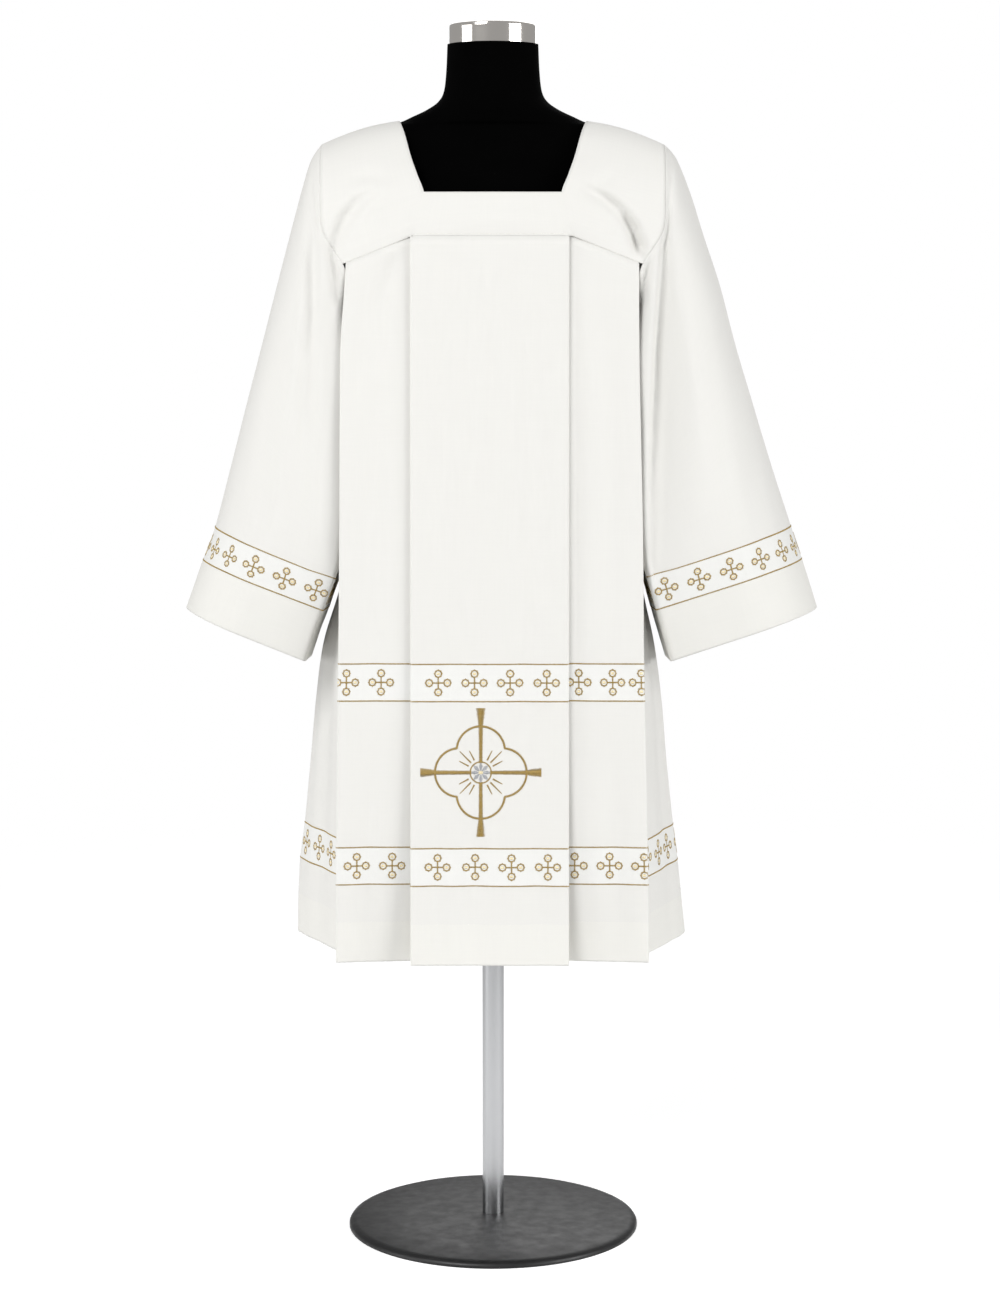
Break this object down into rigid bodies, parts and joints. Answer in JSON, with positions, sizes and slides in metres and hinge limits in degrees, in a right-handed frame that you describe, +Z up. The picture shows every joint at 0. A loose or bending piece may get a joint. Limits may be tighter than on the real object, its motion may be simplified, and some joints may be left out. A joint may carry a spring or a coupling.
{
  "type": "surplice on a dress form",
  "caption": "Pleated surplice with a square neckline, wide bell sleeves and flared side gores, worn by a limbless dress form on a pole and round foot.",
  "frame": {"origin": "centre of the round foot's underside", "axes": "+Z up along the pole; the garment's front faces -Y; +X is the wearer's left, to the right as seen from the front"},
  "size_m": [0.8127, 0.4078, 1.559],
  "materials": {
    "ivory_cloth": "matt ivory cotton and polyester cloth",
    "black_velvet": "black velvet cover",
    "chrome": "polished",
    "black_foot_paint": "satin black"
  },
  "bodies": {
    "root": {"yoke_front": "ivory_cloth", "yoke_back": "ivory_cloth", "front_body": "ivory_cloth", "back_body": "ivory_cloth", "gore_left": "ivory_cloth", "gore_right": "ivory_cloth", "sleeve_left": "ivory_cloth", "sleeve_right": "ivory_cloth", "form_torso": "black_velvet", "neck_cap": "chrome", "stand_pole": "chrome", "stand_foot": "black_foot_paint"}
  },
  "joints": []
}
